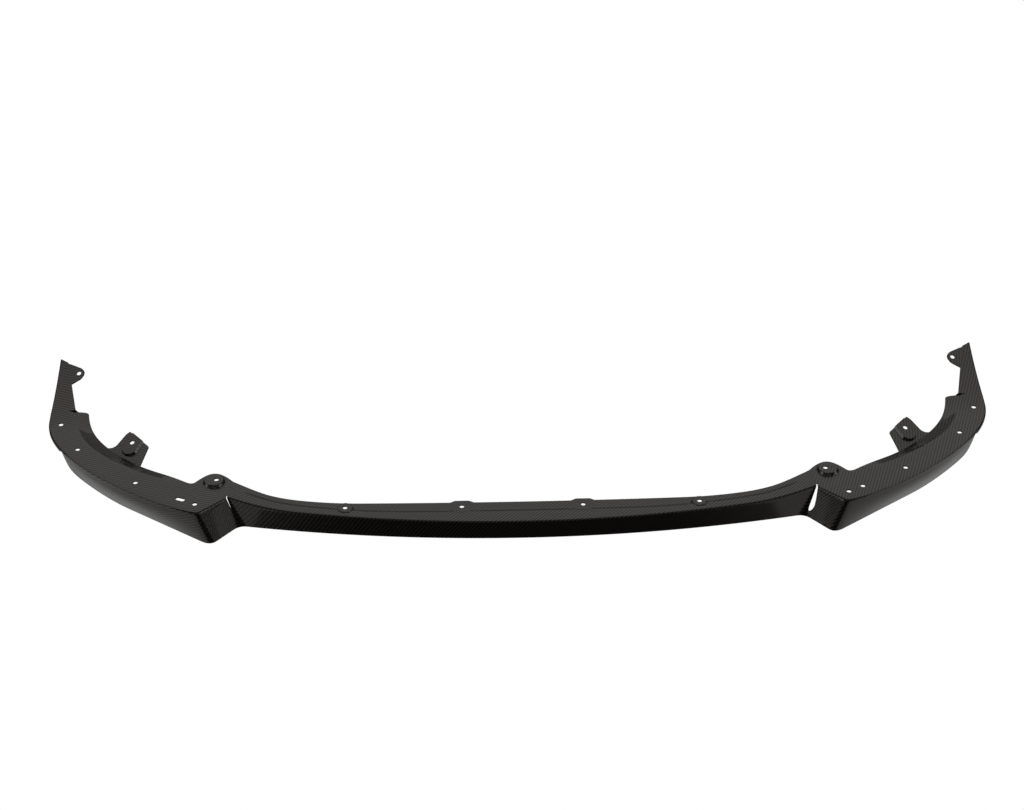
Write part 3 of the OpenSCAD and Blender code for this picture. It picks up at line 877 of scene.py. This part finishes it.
# %% Cut the shell
CUT_PAST = 2
slant_wall = WALL * math.hypot(1, EAR_RUN)
cavity_foot = EAR_SEAT_R + EAR_RUN * (EAR_SEAT_H + WALL + CUT_PAST) - slant_wall
cavity_top = EAR_SEAT_R + EAR_RUN * WALL - slant_wall
cavity = long_seat((EAR_SEAT_AT, EAR_SEAT_END), -WALL - CUT_PAST, cavity_foot,
                   EAR_SEAT_H - WALL, cavity_top)
both_sides(cavity, ear_frame)
combine(lip, new_object("cavity", cavity), "DIFFERENCE")
for vert in tool.verts:
    vert.co = in_scene(vert.co)
combine(lip, new_object("tool", tool), "DIFFERENCE")
print("finished shell:", len(lip.data.polygons), "faces")

# %% [markdown]
# ## Shading
#
# The mould's bends are smooth and the drilled edges are sharp, so edges that turn by
# more than 32 degrees are marked sharp and the rest is shaded smoothly.

# %% Smooth the bends and keep the cut edges
SHARP_ANGLE = math.radians(32)
finish_mesh = bmesh.new()
finish_mesh.from_mesh(lip.data)
bmesh.ops.remove_doubles(finish_mesh, verts=finish_mesh.verts[:], dist=2 * TOUCHING)
for face in finish_mesh.faces:
    face.smooth = True
for edge in finish_mesh.edges:
    edge.smooth = len(edge.link_faces) == 2 and edge.calc_face_angle(0) < SHARP_ANGLE
open_edges = sum(1 for edge in finish_mesh.edges if len(edge.link_faces) != 2)
volume = finish_mesh.calc_volume(signed=True) * 1e6
finish_mesh.to_mesh(lip.data)
finish_mesh.free()
print("open edges:", open_edges, "volume:", round(volume, 1), "cubic centimetres")

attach(lip, "root")
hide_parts("splitter_lip")

# %% [markdown]
# ## Lacquered twill
#
# Two-by-two twill: each tow of fibres goes over two others and under two, and each row
# is shifted by one, which gives the diagonal lines. Fibres shine like dark metal, but
# only across their own direction. A rounded tow bends its reflection sideways in the
# same way, so each tow gets a rounded normal across itself, and the two directions then
# catch the light at different places. The warp tows are also painted lighter than the
# weft tows of the same fibre: painted sheen. Clear lacquer lies over it all, flat and glossy.


# %% One small class for shader maths
class Value:
    """A shader socket that adds Math nodes when it is used in an expression."""

    def __init__(self, tree, socket):
        self.tree, self.socket = tree, socket

    def math(self, operation, *others):
        return self.tree.value("ShaderNodeMath", {"operation": operation}, [self, *others])

    def __add__(self, other):
        return self.math("ADD", other)

    def __sub__(self, other):
        return self.math("SUBTRACT", other)

    def __mul__(self, other):
        return self.math("MULTIPLY", other)

    def __truediv__(self, other):
        return self.math("DIVIDE", other)

    def __lt__(self, other):
        return self.math("LESS_THAN", other)

    def __rsub__(self, other):
        return self.tree.value("ShaderNodeMath", {"operation": "SUBTRACT"}, [other, self])

    __radd__ = __add__

    def floor(self):
        return self.math("FLOOR")

    def fract(self):
        return self.math("FRACT")

    def wrap(self, length):
        return self.math("FLOORED_MODULO", length)


class Tree:
    """The node tree of one material, with one method that adds any node."""

    def __init__(self, material):
        material.use_nodes = True
        self.nodes, self.links = material.node_tree.nodes, material.node_tree.links
        self.nodes.clear()

    def node(self, kind, settings=None, inputs=None):
        made = self.nodes.new(kind)
        for name, value in (settings or {}).items():
            setattr(made, name, value)
        items = inputs.items() if isinstance(inputs, dict) else enumerate(inputs or [])
        for key, value in items:
            if isinstance(value, Value):
                self.links.new(value.socket, made.inputs[key])
            elif isinstance(value, bpy.types.NodeSocket):
                self.links.new(value, made.inputs[key])
            else:
                made.inputs[key].default_value = value
        return made

    def value(self, kind, settings=None, inputs=None, output=0):
        return Value(self, self.node(kind, settings, inputs).outputs[output])


# %% The twill's grid
TOW, REPEAT, OVER = 0.00195, 4, 2
carbon = bpy.data.materials.new("lacquered_twill")
tree = Tree(carbon)
uv = tree.node("ShaderNodeUVMap", {"uv_map": "cloth"})
flat = tree.node("ShaderNodeSeparateXYZ", inputs=[uv.outputs["UV"]])
u = Value(tree, flat.outputs["X"]) / TOW
v = Value(tree, flat.outputs["Y"]) / TOW
column, row = u.floor(), v.floor()
warp = (column - row).wrap(REPEAT) < OVER
across_warp, across_weft = u.fract() * 2 - 1, v.fract() * 2 - 1
print("a tow is", TOW * 1000, "mm wide and the weave repeats every", REPEAT * TOW * 1000, "mm")

# %% Rounded tows as a normal
TOW_TILT = 0.13
slope_u = across_warp * warp * TOW_TILT
slope_v = across_weft * (1 - warp) * TOW_TILT
# A normal map keeps a slope as a colour, with level ground at one half.
lean = tree.node("ShaderNodeCombineXYZ", inputs=[slope_u * 0.5 + 0.5, slope_v * 0.5 + 0.5, 1.0])
tow_normal = tree.node("ShaderNodeNormalMap", {"space": "TANGENT", "uv_map": "cloth"},
                       {"Strength": 1.0, "Color": lean.outputs[0]})

# %% Colour of the cloth with painted sheen on the warp tows, and the lacquer
# Both tows are the same black fibre. The lighter warp colour is painted sheen and the darker weft
# colour is painted shade. Together they stand in for how differently the two directions reflect
# the side lights.
WEFT_PAINTED_SHADE, WARP_PAINTED_SHEEN = (0.040, 0.036, 0.033, 1), (0.116, 0.101, 0.091, 1)
MIX_A, MIX_B, MIX_RESULT = 6, 7, 2
place = tree.node("ShaderNodeTexCoord")
mottle = tree.value("ShaderNodeTexNoise", {}, {"Vector": place.outputs["Object"], "Scale": 9.0,
                                               "Detail": 3.0, "Roughness": 0.55})
shade = tree.node("ShaderNodeMix", {"data_type": "RGBA"})
tree.links.new(warp.socket, shade.inputs["Factor"])
shade.inputs[MIX_A].default_value = WEFT_PAINTED_SHADE
shade.inputs[MIX_B].default_value = WARP_PAINTED_SHEEN
lacquer = tree.node("ShaderNodeBsdfPrincipled", inputs={
    "Base Color": shade.outputs[MIX_RESULT], "Metallic": 0.75, "Roughness": 0.27 + mottle * 0.06,
    "Normal": tow_normal.outputs["Normal"], "IOR": 1.5,
    "Coat Weight": 1.0, "Coat Roughness": 0.08, "Coat IOR": 1.5})
tree.node("ShaderNodeOutputMaterial", inputs={"Surface": lacquer.outputs["BSDF"]})
lip.data.materials.clear()
lip.data.materials.append(carbon)
print("lacquered twill has", len(tree.nodes), "nodes")

# %% [markdown]
# ## Studio
#
# The photograph has a plain white ground without a shadow. A glowing white floor and a
# white dome around it give that from every side. Neither is seen in the lacquer, since
# they would turn black carbon grey. What the lacquer shows is a dim room with soft
# boxes: a large one overhead, one in front of each wing, a bounce card below each wing's
# face, and weak ones behind and in front.

# %% White floor and dome
FLOOR_R, DOME_R, FLOOR_DROP, ROOM_GLOW = 20, 19, 0.0005, 0.01


def stage_piece(name, bm):
    piece = new_object(name, bm)
    piece.data.materials.append(white)
    piece.visible_glossy = False
    piece.visible_diffuse = False
    piece.visible_shadow = False
    return piece


white = bpy.data.materials.new("white_ground")
white_tree = Tree(white)
glow = white_tree.node("ShaderNodeEmission", inputs={"Color": (1, 1, 1, 1), "Strength": 1.0})
white_tree.node("ShaderNodeOutputMaterial", inputs={"Surface": glow.outputs[0]})

floor = bmesh.new()
bmesh.ops.create_circle(floor, cap_ends=True, segments=64, radius=FLOOR_R)
bmesh.ops.translate(floor, verts=floor.verts[:], vec=(0, 0, -FLOOR_DROP))
stage_piece("floor", floor)
dome = bmesh.new()
bmesh.ops.create_uvsphere(dome, u_segments=48, v_segments=24, radius=DOME_R)
stage_piece("dome", dome)

# %% Dim room and soft boxes
world = bpy.data.worlds.new("room")
world.use_nodes = True
background = world.node_tree.nodes["Background"]
background.inputs["Color"].default_value = (1, 1, 1, 1)
background.inputs["Strength"].default_value = ROOM_GLOW
bpy.context.scene.world = world
bpy.context.scene.view_settings.view_transform = "Standard"


def soft_box(name, at, to, size, brightness):
    """A rectangle that faces a point and is equally bright all over."""
    data = bpy.data.lights.new(name, "AREA")
    data.shape = "RECTANGLE"
    data.size, data.size_y = size
    data.energy = brightness * math.pi * size[0] * size[1]
    lamp = bpy.data.objects.new(name, data)
    lamp.location = at
    lamp.rotation_euler = (Vector(to) - Vector(at)).to_track_quat("-Z", "Y").to_euler()
    lamp.visible_camera = False
    bpy.context.scene.collection.objects.link(lamp)


soft_box("overhead", (0, 2.0, 3.2), (0, 0, 0), (7.0, 5.0), 0.40)
for sign in (1, -1):
    soft_box("side", (3.2 * sign, -0.9, 0.5), (0.8 * sign, 0, 0.1), (2.6, 1.3), 1.0)
    soft_box("bounce", (1.5 * sign, -0.45, -0.5), (1.5 * sign, -0.45, 1), (1.4, 2.5), 0.27)
soft_box("rear", (0, 5.0, 1.1), (0, 0, 0.1), (9.0, 2.2), 0.1)
soft_box("front", (0, -4.5, 3.2), (0, 0, 0), (6.0, 2.5), 0.15)
